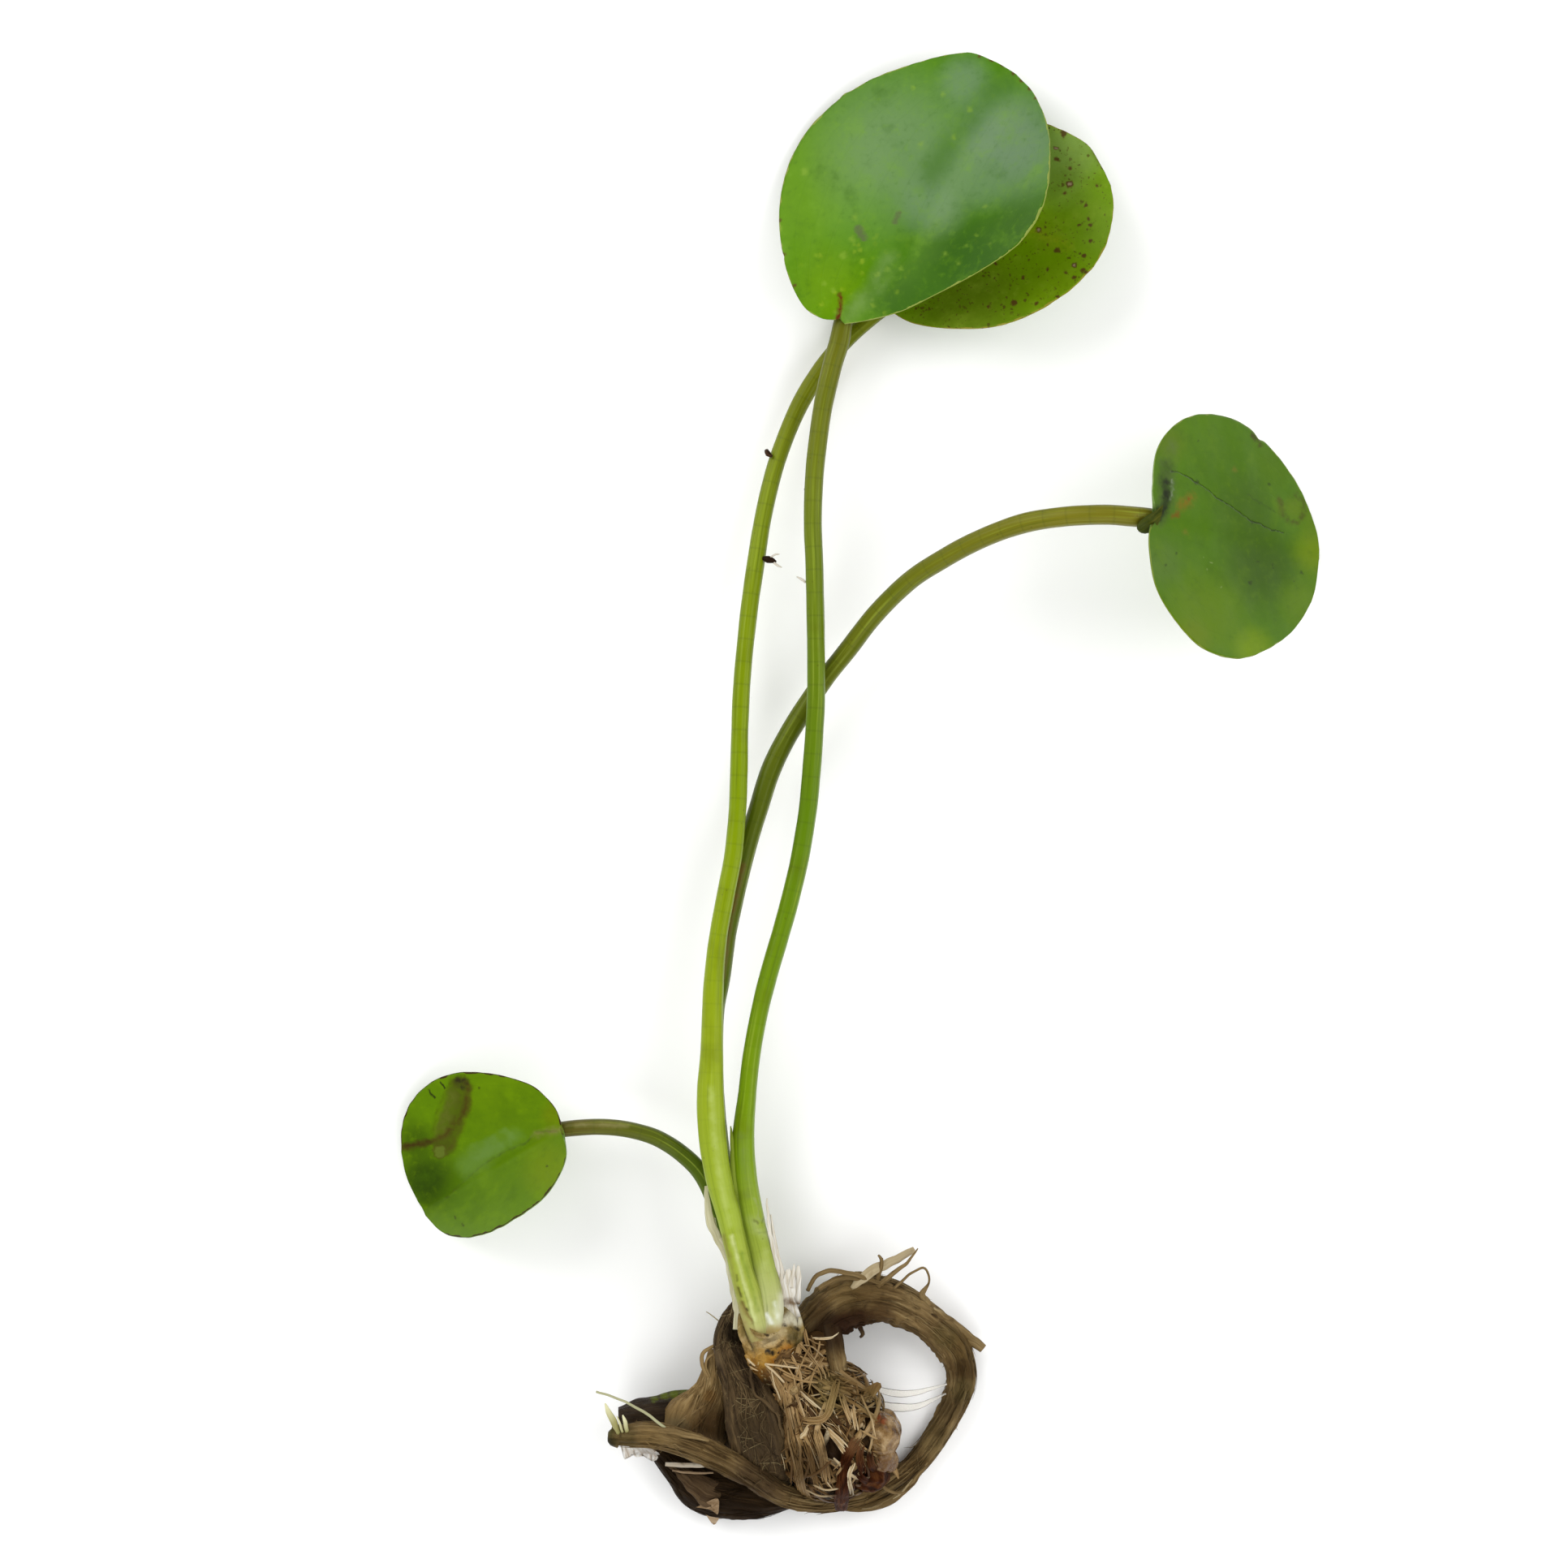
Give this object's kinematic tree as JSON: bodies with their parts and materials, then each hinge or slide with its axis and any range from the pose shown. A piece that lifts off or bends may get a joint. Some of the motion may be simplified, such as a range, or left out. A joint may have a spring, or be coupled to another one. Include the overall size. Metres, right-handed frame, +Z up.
{
  "type": "water poppy plant",
  "caption": "Water poppy pulled out whole and laid flat: heart-based leaves on long fleshy stalks rise from a short crown, with a withered runner and a root mass.",
  "frame": {"origin": "centre of the bounding box on the surface the plant lies on", "axes": "+Y from the roots to the leaves, +X to the side of the single right-hand leaf, +Z up off the surface it lies on"},
  "size_m": [0.226, 0.3608, 0.0517],
  "materials": {
    "crown": "cream tissue with orange stains",
    "dead_leaf_base": "wet dark brown, limp",
    "dead_stalk_dark": "rotted fibrous grey brown",
    "dead_stalk_tan": "rotted fibrous tan",
    "leaf_behind": "ageing leaf, olive green with brown specks",
    "leaf_front": "fresh wet leaf, glossy mid green",
    "leaf_right": "fresh leaf, olive green with a dark crack",
    "leaf_small": "small leaf, yellow green, partly decayed",
    "old_rhizome": "wet brown black",
    "root_left": "thin pale root",
    "root_mass": "tangle of flat pale tan roots",
    "root_upper": "flat pale tan root",
    "runner": "withered fibrous tan brown",
    "sheath_left": "thin brown-edged membrane",
    "sheath_right": "thin whitish torn membrane",
    "stalk_behind": "fleshy stalk, bright yellow green",
    "stalk_front": "fleshy stalk, mid green to pale at the base",
    "stalk_right": "fleshy stalk, dark olive",
    "stalk_small": "fleshy stalk, olive brown"
  },
  "bodies": {
    "root": {"crown": "crown", "dead_leaf_base": "dead_leaf_base", "dead_stalk_dark": "dead_stalk_dark", "dead_stalk_tan": "dead_stalk_tan", "leaf_behind": "leaf_behind", "leaf_front": "leaf_front", "leaf_right": "leaf_right", "leaf_small": "leaf_small", "old_rhizome": "old_rhizome", "root_left": "root_left", "root_mass": "root_mass", "root_upper": "root_upper", "runner": "runner", "sheath_left": "sheath_left", "sheath_right": "sheath_right", "stalk_behind": "stalk_behind", "stalk_front": "stalk_front", "stalk_right": "stalk_right", "stalk_small": "stalk_small"}
  },
  "joints": []
}
